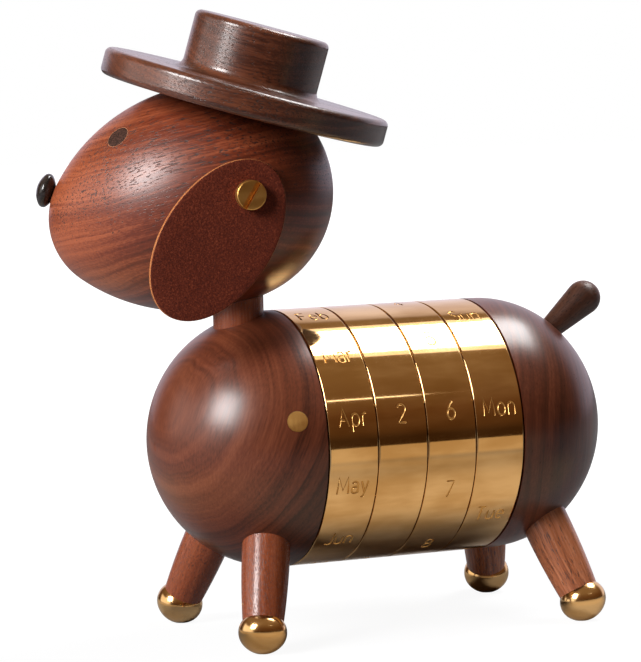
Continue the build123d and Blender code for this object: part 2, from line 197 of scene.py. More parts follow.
def walnut(name, look, offset=(0, 0, 0)):
    material, wire = newMaterial(name)
    fibreWay = Vector(look["grain"]).normalized()
    sideWay = Vector(look["layerWay"]).cross(fibreWay).normalized()
    turn = Matrix((fibreWay, sideWay, fibreWay.cross(sideWay))).transposed().to_euler()
    place = wire.node("ShaderNodeTexCoord", out="Object")
    sockets = {"Vector": place, "Location": offset, "Rotation": turn, "Scale": (mm, mm, mm)}
    along = wire.node("ShaderNodeMapping", {"vector_type": "TEXTURE"}, sockets)
    along = wire.node("ShaderNodeSeparateXYZ", sockets={0: along})
    across, through = along.port(1), along.port(2)

    def waves(pair, depth, detail):
        long, wide = pair
        return noise(wire, vector(wire, along * long, across * wide, depth * wide), 1, detail)

    def layers(pair, seed, **settings):
        long, wide = pair
        return noise(wire, vector(wire, growth * wide, along * long, seed), 1, **settings)

    bend = waves(walnutGrain["bend"], through, detail=1)
    ripple = waves(walnutGrain["ripple"], through, detail=1)
    growth = through + across * across * look["curl"]
    growth = growth + (bend - 0.5) * walnutGrain["bendShift"] + (ripple - 0.5) * walnutGrain["rippleShift"]
    streak = layers(walnutGrain["streak"], 0)
    line = layers(walnutGrain["line"], walnutGrain["lineSeed"], **walnutGrain["rough"])
    fine = walnutGrain["fibreAcross"]
    strands = vector(wire, along / look["fibreLong"], across * fine, growth * fine)
    fibre = noise(wire, strands, 1, **walnutGrain["rough"])

    cells = [along / look["poreLong"], across / look["poreWide"], growth / look["poreWide"]]
    pore = noise(wire, vector(wire, *cells), 1, detail=1)
    patch = waves(poreGrain["patch"], growth, detail=2)
    limits = [look["poreLimit"] + poreGrain[key] for key in ("fewer", "more")]
    limit = smoothRange(wire, patch, *poreGrain["patchRange"], *limits)
    limit = limit + smoothRange(wire, growth, *poreGrain["fewerRange"], 0, look["poreFewer"])
    poreMask = smoothRange(wire, pore - limit, 0, poreGrain["edge"])

    figure = (streak - 0.5) * look["streak"] + (line - 0.5) * look["line"]
    calmTo = look["calmFrom"] + walnutGrain["calmOver"]
    figure = figure * smoothRange(wire, growth, look["calmFrom"], calmTo, 1, walnutGrain["calmShare"])
    # painted light and shade: the tone rises or falls across the layers, lighter where the light falls and
    # darker in shade
    tone = figure + (fibre - 0.5) * look["fibre"] + (growth - look["fadeFrom"]) * look["fade"] + 0.5
    # painted light: the head's tone is lifted towards the snout's tip, where the key light falls
    tone = tone + smoothRange(wire, along, *walnutGrain["paintedSnoutLightRange"], 0, look["tip"])
    stops = list(zip(walnutGrain["stops"], (look["dark"], look["middle"], look["light"])))
    wood = wire.node("ShaderNodeValToRGB", {"stops": stops}, {0: tone})
    wood = mixColour(wire, poreMask * look["poreInk"], wood, look["pore"])
    height = fibre * walnutGrain["fibreHeight"] + line * walnutGrain["lineHeight"] - poreMask
    bump = bumpNode(wire, look["bump"], walnutGrain["bumpDepth"], height)
    rough = look["roughness"] + (fibre - 0.5) * walnutGrain["fibreSheen"] + poreMask * poreGrain["dullness"]
    sockets = {"Base Color": wood, "Roughness": rough, "Normal": bump, "Specular IOR Level": look["shine"]}
    sockets |= {"Coat Weight": look["coat"], "Coat Roughness": walnutGrain["coatRoughness"]}
    finishMaterial(wire, sockets)
    return material


# brass: polished, with faint smudges, a little waviness and hairline scratches round the turning axis
# frequencies are per metre, along the axis and across it
# a slot is the sunk middle of a screw's head, painted darker there as painted shade
brassWear = {
    "blotch": 60,
    "blotchShare": 0.4,
    "smudge": (45, 170),
    "smudgeShare": 0.6,
    "hairline": (9000, 60),
    "wave": 35,
    "wornRange": (0.36, 0.64),
    "scratchRange": (0.55, 0.75),
    "smudgeHeight": 0.06,
    "hairlineHeight": 0.02,
    "bumpDepth": 0.4 * mm,
}


def brass(name, look, slot=None):
    material, wire = newMaterial(name)
    place = wire.node("ShaderNodeTexCoord", out="Object")
    axes = wire.node("ShaderNodeSeparateXYZ", sockets={0: place})

    def stretched(pair, **settings):
        long, wide = pair
        return noise(wire, vector(wire, axes * long, axes.port(1) * wide, axes.port(2) * wide), 1, **settings)

    large = noise(wire, place, brassWear["blotch"])
    smudge = stretched(brassWear["smudge"], detail=3, roughness=0.6)
    lines = stretched(brassWear["hairline"])
    dull = large * brassWear["blotchShare"] + smudge * brassWear["smudgeShare"]
    tint = mixColour(wire, smoothRange(wire, dull, *brassWear["wornRange"]), look["deep"], look["bright"])
    if slot:
        reach, apart = fromAxis(wire, place, slot["middle"], slot["axis"])
        level = vectorMaths(wire, "DOT_PRODUCT", apart, slot["axis"], out="Value")
        inside = smoothRange(wire, reach, *[slot["radius"] - inset for inset in slot["rim"]])
        # painted shade: the sunk middle of the slot is tinted darker
        grime = inside * smoothRange(wire, level, *[slot["top"] - depth for depth in slot["depth"]])
        tint = mixColour(wire, grime, tint, slot["grime"])
    rubbed = smoothRange(wire, lines, *brassWear["scratchRange"])
    rough = look["roughness"] + (smudge - 0.5) * look["roughness"] + rubbed * look["scratch"]
    wavy = noise(wire, place, brassWear["wave"], detail=1)
    height = wavy + smudge * brassWear["smudgeHeight"] + lines * brassWear["hairlineHeight"]
    bump = bumpNode(wire, look["waviness"], brassWear["bumpDepth"], height)
    finishMaterial(wire, {"Base Color": tint, "Metallic": 1, "Roughness": rough, "Normal": bump})
    return material


leatherGrain = {
    "nap": 3000,
    "napTone": 1.6,
    "napHeight": 0.8,
    "mottle": 240,
    "mottleTone": 0.25,
    "cellTone": 0.2,
    "cellHeight": 0.5,
    "stops": (0.1, 0.5, 0.9),
    "bump": 0.6,
    "roughness": 0.66,
    "napDullness": 0.3,
    "shine": 0.25,
}


def leather(name, look):
    material, wire = newMaterial(name)
    place = wire.node("ShaderNodeTexCoord", out="Object")
    grain = wire.node("ShaderNodeTexVoronoi", {"feature": "F1"}, {"Vector": place, "Scale": 1 / look["cell"]})
    nap = noise(wire, place, leatherGrain["nap"], detail=3, roughness=0.75)
    mottle = noise(wire, place, leatherGrain["mottle"], detail=3)
    tone = (nap - 0.5) * leatherGrain["napTone"] + (mottle - 0.5) * leatherGrain["mottleTone"] + 0.5
    tone = tone - (grain - 0.4) * leatherGrain["cellTone"]
    stops = list(zip(leatherGrain["stops"], (look["dark"], look["middle"], look["light"])))
    hide = wire.node("ShaderNodeValToRGB", {"stops": stops}, {0: tone})
    height = nap * leatherGrain["napHeight"] + grain * leatherGrain["cellHeight"]
    bump = bumpNode(wire, leatherGrain["bump"], look["bumpDepth"], height)
    rough = leatherGrain["roughness"] + (nap - 0.5) * leatherGrain["napDullness"]
    sockets = {"Base Color": hide, "Roughness": rough, "Normal": bump}
    finishMaterial(wire, sockets | {"Specular IOR Level": leatherGrain["shine"]})
    return material


lacquerGrain = {"speck": 900, "speckRange": (0.35, 0.7), "bump": 0.08, "bumpDepth": 0.1 * mm, "sheen": 0.15}


def lacquer(name, look):
    material, wire = newMaterial(name)
    place = wire.node("ShaderNodeTexCoord", out="Object")
    speck = noise(wire, place, lacquerGrain["speck"], detail=3)
    pale = smoothRange(wire, speck, *lacquerGrain["speckRange"])
    paint = mixColour(wire, pale, look["dark"], look["light"])
    bump = bumpNode(wire, lacquerGrain["bump"], lacquerGrain["bumpDepth"], speck)
    rough = look["roughness"] + (speck - 0.5) * lacquerGrain["sheen"]
    finishMaterial(wire, {"Base Color": paint, "Roughness": rough, "Normal": bump})
    return material


# eye plugs: dark end grain inside a thin pale ring, partly a glue line and partly a painted highlight on the
# plug's edge
def eyePlug(name, look, middle, axis):
    material, wire = newMaterial(name)
    place = wire.node("ShaderNodeTexCoord", out="Object")
    reach = fromAxis(wire, place, middle, axis)[0]
    speck = noise(wire, place, look["speck"], detail=3, roughness=0.7)
    wood = mixColour(wire, smoothRange(wire, speck, *look["speckRange"]), look["dark"], look["light"])
    # a glue line and a painted highlight round the plug's edge
    glueAndEdgeHighlight = smoothRange(wire, reach, *[look["radius"] * share for share in look["glueAndEdgeHighlightLine"]])
    paint = mixColour(wire, glueAndEdgeHighlight, wood, look["glueAndEdgeHighlight"])
    bump = bumpNode(wire, look["bump"], look["bumpDepth"], speck)
    rough = look["roughness"] + (speck - 0.5) * look["sheen"]
    sockets = {"Base Color": paint, "Roughness": rough, "Normal": bump, "Specular IOR Level": look["shine"]}
    finishMaterial(wire, sockets)
    return material


# fadeFrom and calmFrom are in mm across the layers, and a calmFrom of 500 is never reached; fade is painted
# light and shade, lighter on a piece's lit side and darker on its shaded side
bodyLook = {
    "grain": (0.32, 0, 0.95),
    "layerWay": (-0.946, -0.23, 0.322),
    "dark": srgb(64, 29, 17),
    "middle": srgb(108, 54, 34),
    "light": srgb(140, 78, 51),
    "pore": srgb(40, 19, 12),
    "curl": 0.004,
    "streak": 0.5,
    "line": 1.15,
    "fibre": 0.7,
    "fibreLong": 6.0,
    # painted shade: the chest is darker towards its shaded right side by the ring
    "fade": 0.013,
    "fadeFrom": 55,
    "calmFrom": 59,
    "tip": 0.0,
    "poreLong": 1.3,
    "poreWide": 0.26,
    "poreLimit": 0.75,
    "poreFewer": 0.0,
    "poreInk": 0.5,
    "bump": 0.1,
    "roughness": 0.31,
    "shine": 0.5,
    "coat": 0.0,
}
rearLook = bodyLook | {
    "grain": (0.05, 0.05, 1),
    "layerWay": (0.97, -0.22, 0.05),
    "dark": srgb(56, 26, 15),
    "middle": srgb(92, 44, 27),
    "light": srgb(132, 71, 46),
    "curl": 0.0,
    "line": 1.1,
    "fibreLong": 14.0,
    # painted light: the rear is lighter near the ring, where the top light falls
    "fade": -0.008,
    "fadeFrom": 38,
    "calmFrom": 500,
    "bump": 0.06,
    "roughness": 0.29,
}
headLook = bodyLook | {
    "grain": (-0.86, 0.46, -0.2),
    "layerWay": (-0.18, 0.1, 0.96),
    "dark": srgb(74, 28, 12),
    "middle": srgb(114, 46, 23),
    "light": srgb(170, 88, 53),
    "pore": srgb(46, 19, 11),
    "curl": -0.003,
    "streak": 0.7,
    "line": 1.4,
    # painted light and shade: the head is lighter on top and darker underneath
    "fade": 0.006,
    "fadeFrom": 5,
    "calmFrom": 500,
    # painted light on the snout's tip
    "tip": 0.33,
    "poreLong": 2.4,
    "poreWide": 0.36,
    "poreLimit": 0.58,
    "poreFewer": 0.13,
    "poreInk": 0.85,
    "bump": 0.25,
    "roughness": 0.37,
    "shine": 0.65,
}
hatLook = bodyLook | {
    "grain": (0.83, -0.47, -0.28),
    "layerWay": (0.1, -0.3, 0.95),
    "dark": srgb(38, 18, 12),
    "middle": srgb(70, 34, 22),
    "light": srgb(120, 66, 43),
    "curl": 0.0,
    "streak": 1.4,
    "line": 0.9,
    "fibre": 0.9,
    "fade": 0.0,
    "calmFrom": 500,
    "poreWide": 0.24,
    "poreLimit": 0.58,
    "poreInk": 0.85,
    "bump": 0.4,
    "coat": 0.32,
}
legLook = headLook | {
    "layerWay": (0.7, -0.7, 0.2),
    "dark": srgb(92, 41, 23),
    "middle": srgb(142, 71, 43),
    "light": srgb(176, 101, 66),
    "curl": 0.0,
    "line": 0.8,
    "fibreLong": 1.2,
    "fade": 0.0,
    "tip": 0.0,
    "poreLong": 0.65,
    "poreWide": 0.19,
    "poreLimit": 0.6,
    "poreFewer": 0.0,
    "pore": srgb(62, 25, 13),
    "poreInk": 0.7,
    "bump": 0.3,
    "roughness": 0.26,
    "shine": 0.5,
}
# rear legs: paler tones painted in as light on the rear legs, with their own grain and pores
rearLegPaintedLightLook = legLook | {
    "dark": srgb(106, 53, 33),
    "middle": srgb(178, 107, 73),
    "light": srgb(212, 144, 106),
    "line": 1.15,
    "fibreLong": 7.0,
    "poreLong": 1.9,
    "poreWide": 0.25,
    "poreLimit": 0.59,
    "pore": srgb(36, 14, 8),
    "bump": 0.12,
}
neckLook = legLook | {
    "grain": (0, 0, 1),
    "layerWay": (-0.5, 0.8, 0),
    "dark": srgb(104, 48, 28),
    "middle": srgb(154, 80, 51),
    "light": srgb(184, 112, 79),
    "fibreLong": 9.0,
}
tailLook = hatLook | {
    "grain": (0.8, 0, 0.6),
    "layerWay": (0.3, -0.9, 0),
    "dark": srgb(56, 32, 23),
    "middle": srgb(88, 51, 37),
    "light": srgb(124, 80, 60),
    "roughness": 0.42,
    "coat": 0.0,
}
ringBrassLook = {
    "deep": srgb(212, 167, 108),
    "bright": srgb(240, 199, 142),
    "roughness": 0.06,
    "scratch": 0.06,
    "waviness": 0.03,
}
footLook = ringBrassLook | {"roughness": 0.16, "scratch": 0.05, "waviness": 0.13}
grooveLook = {
    "deep": srgb(208, 158, 90),
    "bright": srgb(232, 186, 118),
    "roughness": 0.36,
    "scratch": 0.1,
    "waviness": 0.05,
}
pinLook = {
    "deep": srgb(218, 164, 88),
    "bright": srgb(240, 192, 116),
    "roughness": 0.4,
    "scratch": 0.15,
    "waviness": 0.05,
}
screwLook = pinLook | {"roughness": 0.38}
earLook = {
    "dark": srgb(60, 17, 7),
    "middle": srgb(97, 34, 15),
    "light": srgb(146, 68, 42),
    "bumpDepth": 0.2 * mm,
    "cell": 0.6 * mm,
}
edgeLook = {
    "dark": srgb(146, 78, 38),
    "middle": srgb(194, 118, 66),
    "light": srgb(226, 164, 108),
    "bumpDepth": 0.15 * mm,
    "cell": 0.4 * mm,
}
noseLook = {"dark": srgb(30, 25, 24), "light": srgb(50, 42, 40), "roughness": 0.2}
fibreLook = {"dark": srgb(20, 15, 13), "light": srgb(34, 27, 23), "roughness": 0.7}
eyeLook = {
    "dark": srgb(38, 22, 17),
    "light": srgb(84, 54, 43),
    "glueAndEdgeHighlight": srgb(180, 116, 84),
    "radius": 2.85 * mm,
    "glueAndEdgeHighlightLine": (0.93, 0.97),
    "speck": 2400,
    "speckRange": (0.35, 0.68),
    "bump": 0.3,
    "bumpDepth": 0.1 * mm,
    "roughness": 0.5,
    "sheen": 0.2,
    "shine": 0.3,
}
screwSlot = {
    "radius": 3.4 * mm,
    "rim": (0.1 * mm, 0.25 * mm),
    "depth": (0.1 * mm, 0.5 * mm),
    "grime": srgb(222, 158, 84),
}
legSplay = (0.283, 0.473)
legPlaces = ("front_left", "front_right", "rear_left", "rear_right")
sides = {"left": -1, "right": 1}


def centreOf(name):
    low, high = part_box(name)
    return tuple((low + high) / 2)


materials = {
    "front_body": walnut("frontWalnut", bodyLook),
    "rear_body": walnut("rearWalnut", rearLook),
    "head": walnut("headWalnut", headLook, centreOf("head")),
    "hat": walnut("hatWalnut", hatLook),
    "neck_dowel": walnut("neckWalnut", neckLook),
    "tail": walnut("tailWalnut", tailLook),
    "nose": lacquer("noseLacquer", noseLook),
}
for name in legPlaces:
    x, y, z = centreOf(name + "_leg")
    splay = {"grain": (np.sign(x) * legSplay[0], np.sign(y) * legSplay[1], -1)}
    # the rear legs take the paler copy, painted light
    look = rearLegPaintedLightLook if x > 0 else legLook
    materials[name + "_leg"] = walnut(name + "Walnut", look | splay, (x, y, z))
for name in ("left_eye", "right_eye"):
    spots = np.array([corner.co for corner in nodes[name].data.vertices])
    middle = spots.mean(axis=0)
    longWay = np.linalg.eigh(np.cov((spots - middle).T))[1][:, -1]
    materials[name] = eyePlug(name + "Wood", eyeLook, tuple(middle), tuple(longWay))
footBrass = brass("footBrass", footLook)
ringBrass = brass("ringBrass", ringBrassLook)
grooveBrass = brass("grooveBrass", grooveLook)
pinBrass = brass("pinBrass", pinLook)
earHide = leather("earHide", earLook)
earEdge = leather("earEdge", edgeLook)
darkFibre = lacquer("darkFibre", fibreLook)
for name in legPlaces:
    materials[name + "_foot"] = footBrass
for name in ("index_pin", "front_insert", "rear_insert"):
    materials[name] = pinBrass
for side, hand in sides.items():
    middle = Vector(joints[side + "_ear_swing"]["pos_m"])
    axis = hand * Vector(joints[side + "_ear_swing"]["axis"])
    levels = [(corner.co - middle).dot(axis) for corner in nodes[side + "_ear_screw"].data.vertices]
    slot = screwSlot | {"middle": middle, "axis": axis, "top": max(levels)}
    materials[side + "_ear_screw"] = brass(side + "ScrewBrass", screwLook, slot)
    materials[side + "_ear"] = earHide
for name in ("core", "hat_peg", "tie_rod", "foot_studs", "ring_washers"):
    materials[name] = darkFibre
for name, material in materials.items():
    nodes[name].data.materials.clear()
    nodes[name].data.materials.append(material)
print("materials made:", len(bpy.data.materials))


# quads between neighbouring rows of points, each row and the rows themselves closed in a loop
def loopedFaces(rows, steps):
    faces = []
    for row in range(rows):
        above = (row + 1) % rows
        for step in range(steps):
            after = (step + 1) % steps
            quad = (row * steps + step, row * steps + after, above * steps + after, above * steps + step)
            faces.append(quad)
    return faces


# turned ring: (along, radius) points round its section, up the low end, over the rim and down the high end
def turnedMesh(name, profile, place, steps):
    angles = np.linspace(0, 2 * np.pi, steps, endpoint=False)
    local = np.array([(r * np.cos(angles), r * np.sin(angles), 0 * angles + a) for a, r in profile])
    spots = local.transpose(0, 2, 1).reshape(-1, 3)
    mesh = bpy.data.meshes.new(name)
    mesh.from_pydata([place @ Vector(spot) for spot in spots], [], loopedFaces(len(profile), steps))
    mesh.update()
    return mesh


def addPiece(name, mesh, material):
    piece = bpy.data.objects.new(name, mesh)
    scene.collection.objects.link(piece)
    mesh.materials.clear()
    mesh.materials.append(material)
    return piece


# single-stroke lettering, cap height 1, small letters 0.68 high: a width, then the strokes
def bow(centreX, centreY, radiusX, radiusY, start, end):
    count = max(3, int(abs(end - start) / 20))
    turns = [radians(start + (end - start) * i / count) for i in range(count + 1)]
    return [(centreX + radiusX * cos(t), centreY + radiusY * sin(t)) for t in turns]


glyphs = {
    "A": (0.56, [[(0, 0), (0.28, 1), (0.56, 0)], [(0.1, 0.34), (0.46, 0.34)]]),
    "D": (0.54, [[(0.2, 0), (0, 0), (0, 1), (0.2, 1)], bow(0.2, 0.5, 0.34, 0.5, 90, -90)]),
    "F": (0.44, [[(0.44, 1), (0, 1), (0, 0)], [(0, 0.52), (0.36, 0.52)]]),
    "J": (0.36, [[(0.36, 1)] + bow(0.17, 0.19, 0.19, 0.19, 0, -150)]),
    "M": (0.66, [[(0, 0), (0.05, 1), (0.33, 0.2), (0.61, 1), (0.66, 0)]]),
    "N": (0.54, [[(0, 0), (0, 1), (0.54, 0), (0.54, 1)]]),
    "O": (0.62, [bow(0.31, 0.5, 0.31, 0.5, 0, 360)]),
    "S": (0.46, [bow(0.23, 0.75, 0.22, 0.25, 30, 270) + bow(0.23, 0.25, 0.23, 0.25, 90, -150)[1:]]),
    "T": (0.5, [[(0, 1), (0.5, 1)], [(0.25, 1), (0.25, 0)]]),
    "W": (0.8, [[(0, 1), (0.2, 0), (0.4, 0.9), (0.6, 0), (0.8, 1)]]),
    "a": (
        0.37,
        [
            bow(0.19, 0.48, 0.18, 0.2, 155, 0) + [(0.37, 0)],
            [(0.37, 0.38)] + bow(0.18, 0.19, 0.18, 0.19, 90, 335),
        ],
    ),
    "b": (0.42, [[(0, 1), (0, 0)], bow(0.21, 0.34, 0.21, 0.34, 170, -170)]),
    "c": (0.36, [bow(0.2, 0.34, 0.2, 0.34, 50, 310)]),
    "d": (0.42, [[(0.42, 1), (0.42, 0)], bow(0.21, 0.34, 0.21, 0.34, 10, 350)]),
    "e": (0.42, [[(0.01, 0.35)] + bow(0.21, 0.34, 0.21, 0.34, 2, 310)]),
    "g": (0.42, [bow(0.21, 0.34, 0.21, 0.34, 10, 350), [(0.42, 0.68)] + bow(0.21, -0.1, 0.21, 0.2, 0, -150)]),
    "h": (0.4, [[(0, 1), (0, 0)], bow(0.2, 0.46, 0.2, 0.22, 180, 0) + [(0.4, 0)]]),
    "i": (0.0, [[(0, 0.68), (0, 0)], [(0, 0.9), (0, 0.94)]]),
    "l": (0.0, [[(0, 1), (0, 0)]]),
    "n": (0.4, [[(0, 0.68), (0, 0)], bow(0.2, 0.46, 0.2, 0.22, 180, 0) + [(0.4, 0)]]),
    "o": (0.44, [bow(0.22, 0.34, 0.22, 0.34, 0, 360)]),
    "p": (0.42, [[(0, 0.68), (0, -0.3)], bow(0.21, 0.34, 0.21, 0.34, 170, -170)]),
    "r": (0.24, [[(0, 0.68), (0, 0)], bow(0.22, 0.42, 0.22, 0.26, 180, 75)]),
    "t": (0.26, [[(0.11, 0.92)] + bow(0.23, 0.15, 0.12, 0.15, 180, 285), [(0, 0.68), (0.25, 0.68)]]),
    "u": (0.4, [[(0, 0.68)] + bow(0.2, 0.22, 0.2, 0.22, 180, 360), [(0.4, 0.68), (0.4, 0)]]),
    "v": (0.4, [[(0, 0.68), (0.2, 0), (0.4, 0.68)]]),
    "y": (0.4, [[(0, 0.68), (0.21, 0.02)], [(0.4, 0.68), (0.16, -0.2), (0.02, -0.28)]]),
    "0": (0.5, [bow(0.25, 0.5, 0.25, 0.5, 0, 360)]),
    "1": (0.2, [[(0, 0.8), (0.2, 1), (0.2, 0)]]),
    "2": (0.48, [bow(0.23, 0.75, 0.23, 0.25, 165, -35) + [(0, 0), (0.48, 0)]]),
    "3": (0.46, [bow(0.2, 0.76, 0.2, 0.24, 150, -90) + bow(0.2, 0.26, 0.25, 0.26, 90, -150)[1:]]),
    "4": (0.5, [[(0.5, 0.28), (0, 0.28), (0.36, 1), (0.36, 0)]]),
    "5": (0.46, [[(0.42, 1), (0.08, 1), (0.04, 0.56)] + bow(0.2, 0.32, 0.26, 0.32, 130, -150)]),
    "6": (0.46, [bow(0.23, 0.29, 0.23, 0.29, 0, 360), [(0.36, 1), (0.17, 0.74), (0.05, 0.5), (0, 0.3)]]),
    "7": (0.46, [[(0, 1), (0.46, 1), (0.14, 0)]]),
    "8": (0.46, [bow(0.23, 0.76, 0.2, 0.24, 0, 360), bow(0.23, 0.26, 0.23, 0.26, 0, 360)]),
    "9": (0.46, [bow(0.23, 0.71, 0.23, 0.29, 0, 360), [(0.1, 0), (0.29, 0.26), (0.41, 0.5), (0.46, 0.7)]]),
}

ringLook = {
    "chamfer": 0.35 * mm,
    "edgeSteps": 3,
    "closer": 0.1 * mm,  # how far each end reaches into the washer's gap
    "outerGap": 0.05 * mm,  # how far the two outermost ends stay back
    "wall": 5.0 * mm,
    "steps": 240,
    "capHeight": 4.2 * mm,
    "letterGap": 0.2,
    "cutterSides": 14,
    "grooveRadius": 0.28 * mm,
    "grooveDepth": 0.17 * mm,
    "rowAngle": 13.8,
}
ringEdge = ringLook["chamfer"]
ringLabels = {
    "month_ring": ("Jan Feb Mar Apr May Jun Jul Aug Sep Oct Nov Dec".split(), "Apr"),
    "tens_ring": (list("0123"), "2"),
    "units_ring": (list("0123456789"), "6"),
    "weekday_ring": ("Sun Mon Tue Wed Thu Fri Sat".split(), "Mon"),
}


# strokes laid flat: x along the ring's axis, y round its rim from the reading row
def letteringCurve(name, labels, shown, middleX, radius):
    curve = bpy.data.curves.new(name, "CURVE")
    curve.dimensions = "3D"
    cap = ringLook["capHeight"]
    for index, label in enumerate(labels):
        turn = -2 * np.pi / len(labels) * (index - labels.index(shown))
        width = sum(glyphs[g][0] for g in label) + ringLook["letterGap"] * (len(label) - 1)
        pen = -width / 2
        for letter in label:
            advance, strokes = glyphs[letter]
            for stroke in strokes:
                spline = curve.splines.new("POLY")
                spline.points.add(len(stroke) - 1)
                for point, (x, y) in zip(spline.points, stroke):
                    point.co = (middleX + (pen + x) * cap, turn * radius + (y - 0.5) * cap, 0, 1)
            pen += advance + ringLook["letterGap"]
    return bpy.data.objects.new(name, curve)


# wraps the strokes round the ring, sweeps a round cutter along them and cuts it out
def engravingTree():
    tree = bpy.data.node_groups.new("ringEngraving", "GeometryNodeTree")
    inputs = [
        ("Ring", "NodeSocketGeometry"),
        ("Lettering", "NodeSocketObject"),
        ("Rim Radius", "NodeSocketFloat"),
        ("Cutter Radius", "NodeSocketFloat"),
        ("Cutter Lift", "NodeSocketFloat"),
        ("Row Angle", "NodeSocketFloat"),
        ("Axis Height", "NodeSocketFloat"),
        ("Brass", "NodeSocketMaterial"),
    ]
    for label, kind in inputs:
        tree.interface.new_socket(label, in_out="INPUT", socket_type=kind)
    tree.interface.new_socket("Ring", in_out="OUTPUT", socket_type="NodeSocketGeometry")
    wire = Wire(tree)
    ring = wire.node("NodeGroupInput")
    strokes = wire.node("GeometryNodeObjectInfo", sockets={0: ring.port("Lettering")}, out="Geometry")
    flat = wire.node("ShaderNodeSeparateXYZ", sockets={0: wire.node("GeometryNodeInputPosition")})
    angle = flat.port(1) / ring.port("Rim Radius") + ring.port("Row Angle")
    reach = ring.port("Rim Radius") + ring.port("Cutter Lift")
    side = wire.maths("COSINE", angle) * reach * -1
    rise = wire.maths("SINE", angle) * reach + ring.port("Axis Height")
    sockets = {0: strokes, "Position": vector(wire, flat, side, rise)}
    wrapped = wire.node("GeometryNodeSetPosition", sockets=sockets)
    sockets = {"Resolution": ringLook["cutterSides"], "Radius": ring.port("Cutter Radius")}
    cutter = wire.node("GeometryNodeCurvePrimitiveCircle", sockets=sockets)
    swept = wire.node("GeometryNodeCurveToMesh", sockets={0: wrapped, 1: cutter, "Fill Caps": True})
    sockets = {"Mesh 1": ring, "Mesh 2": swept, "Self Intersection": True}
    cut = wire.node("GeometryNodeMeshBoolean", {"operation": "DIFFERENCE", "solver": "EXACT"}, sockets)
    whole = wire.node("GeometryNodeRealizeInstances", sockets={0: cut})
    dressed = wire.node("GeometryNodeSetMaterial", sockets={0: whole, "Material": ring.port("Brass")})
    wire.node("NodeGroupOutput", sockets={0: dressed})
    return tree


def meshFromNodes(piece, tree, values):
    modifier = piece.modifiers.new("shape", "NODES")
    modifier.node_group = tree
    for item in tree.interface.items_tree:
        if item.in_out == "INPUT" and item.name in values:
            modifier[item.identifier] = values[item.name]
    bpy.context.view_layer.update()
    graph = bpy.context.evaluated_depsgraph_get()
    mesh = bpy.data.meshes.new_from_object(piece.evaluated_get(graph))
    piece.modifiers.clear()
    piece.data = mesh


# exact normals on the rim and its rounded edges, and one smooth normal per point inside the grooves
def polishRim(mesh, radius, flatLow, flatHigh):
    owners = np.zeros(len(mesh.loops), int)
    mesh.loops.foreach_get("vertex_index", owners)
    points = np.zeros(len(mesh.vertices) * 3)
    mesh.vertices.foreach_get("co", points)
    points = points.reshape(-1, 3) - np.array((0, 0, axisHeight))
    stations = points[:, 0].copy()
    points[:, 0] = 0
    reach = np.linalg.norm(points, axis=1)
    radial = points / reach[:, None]
    sideways = stations - np.clip(stations, flatLow, flatHigh)
    rounded = radial * (reach - radius + ringEdge)[:, None]
    rounded[:, 0] = sideways
    rounded /= np.linalg.norm(rounded, axis=1)[:, None]
    tiny = 0.004 * mm
    onRim = reach > radius - tiny
    onEdge = reach > radius - ringEdge - tiny
    inGroove = np.zeros((len(points), 3))
    normals = np.zeros((len(mesh.loops), 3))
    grooves = []
    for face in mesh.polygons:
        loops = np.arange(face.loop_start, face.loop_start + face.loop_total)
        spots = owners[loops]
        flat = flatLow < face.center.x < flatHigh
        if onRim[spots].all() and flat:
            normals[loops] = radial[spots]
        elif flat and reach[spots].min() > radius - 2 * ringLook["grooveDepth"]:
            grooves.append((face, loops, spots))
            inGroove[spots] += np.array(face.normal) * face.area
        elif onEdge[spots].all():
            normals[loops] = rounded[spots]
        else:
            normals[loops] = face.normal
    mesh.materials.append(grooveBrass)
    for face, loops, spots in grooves:
        face.material_index = 1
        lengths = np.linalg.norm(inGroove[spots], axis=1)
        normals[loops] = inGroove[spots] / lengths[:, None]
    mesh.polygons.foreach_set("use_smooth", [True] * len(mesh.polygons))
    mesh.normals_split_custom_set(normals.tolist())


engraving = engravingTree()
ringPlace = Matrix(((0, 0, 1, 0), (1, 0, 0, 0), (0, 1, 0, axisHeight), (0, 0, 0, 1)))
turns = [radians(90 / ringLook["edgeSteps"] * i) for i in range(ringLook["edgeSteps"] + 1)]
for name, (labels, shown) in ringLabels.items():
    low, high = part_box(name)
    rim = (high.z - low.z) / 2
    bore = rim - ringLook["wall"]
    low.x += ringLook["outerGap"] if name == "month_ring" else -ringLook["closer"]
    high.x -= ringLook["outerGap"] if name == "weekday_ring" else -ringLook["closer"]
    rounded = [(low.x + ringEdge * (1 - sin(t)), rim - ringEdge * (1 - cos(t))) for t in reversed(turns)]
    mirrored = [(high.x + low.x - x, r) for x, r in reversed(rounded)]
    outline = [(low.x, bore)] + rounded + mirrored + [(high.x, bore)]
    blank = turnedMesh(name + "Turned", outline, ringPlace, ringLook["steps"])
    ring = addPiece(name + "Engraved", blank, ringBrass)
    lettering = letteringCurve(name + "Strokes", labels, shown, (low.x + high.x) / 2, rim)
    scene.collection.objects.link(lettering)
    values = {
        "Lettering": lettering,
        "Rim Radius": rim,
        "Cutter Radius": ringLook["grooveRadius"],
        "Cutter Lift": ringLook["grooveRadius"] - ringLook["grooveDepth"],
        "Row Angle": radians(ringLook["rowAngle"]),
        "Axis Height": axisHeight,
        "Brass": ringBrass,
    }
    meshFromNodes(ring, engraving, values)
    bpy.data.objects.remove(lettering)
    polishRim(ring.data, rim, low.x + ringEdge, high.x - ringEdge)
    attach(ring, "turning_" + name)
    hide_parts(name)
    print(name, "engraved:", len(ring.data.polygons), "faces")


# ears: flat leather with softly rounded raw edges, on the outline of the CAD node
earForm = {
    "holeRadius": 2.05 * mm,
    "holeReach": 3 * mm,
    "round": 0.3 * mm,
    "roundSteps": 4,
    "faceSteps": 6,
    "sharpAngle": 50,
    "sameTurn": 1e-4,
}


